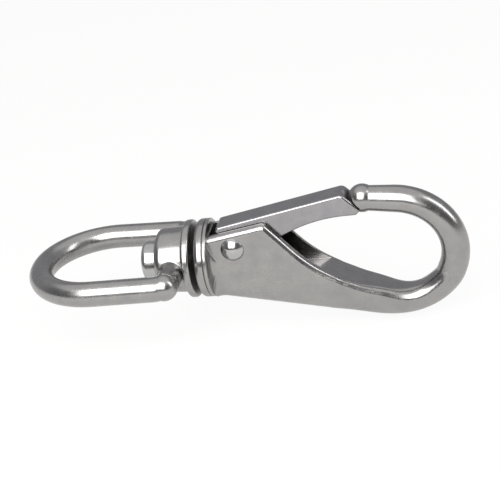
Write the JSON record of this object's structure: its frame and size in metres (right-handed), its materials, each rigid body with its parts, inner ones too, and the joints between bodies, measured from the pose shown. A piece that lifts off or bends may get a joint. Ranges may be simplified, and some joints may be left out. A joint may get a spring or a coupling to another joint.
{
  "type": "swivel eye snap hook",
  "caption": "Cast stainless boat snap: a round-wire eye that swivels on a headed pin, a slotted shank and round bow with a ball nose, and a sprung lever gate on a rivet.",
  "frame": {"origin": "the point where a load bears inside the eye's round end, on the swivel axis", "axes": "+X along the swivel axis from the eye to the hook's bow, +Z from the axis to the gate's side, the bow's plane is XZ and the eye lies in XY"},
  "size_m": [0.0897, 0.0314, 0.0279],
  "materials": {
    "cast_body": "polished cast stainless",
    "gate_steel": "polished stainless",
    "rivet_steel": "polished stainless",
    "spring_wire": "drawn stainless wire",
    "cast_eye": "polished cast stainless",
    "pin_steel": "polished stainless"
  },
  "bodies": {
    "hook": {"hook_body": "cast_body", "gate_rivet": "rivet_steel", "swivel_pin": "pin_steel", "gate_spring": "spring_wire"},
    "lever": {"gate": "gate_steel"},
    "eye": {"swivel_eye": "cast_eye"}
  },
  "joints": [
    {"name": "gate_hinge", "type": "hinge", "parent": "hook", "child": "lever", "pos_m": [0.0388, 0, 0.0034], "axis": [0, 1, 0], "range_deg": [0, 30], "stiffness_Nm_per_rad": 0.07, "springref_deg": -40.11, "deforming": ["gate_spring"]},
    {"name": "eye_swivel", "type": "hinge", "parent": "hook", "child": "eye", "pos_m": [0.0319, 0, 0], "axis": [1, 0, 0], "continuous": true}
  ]
}
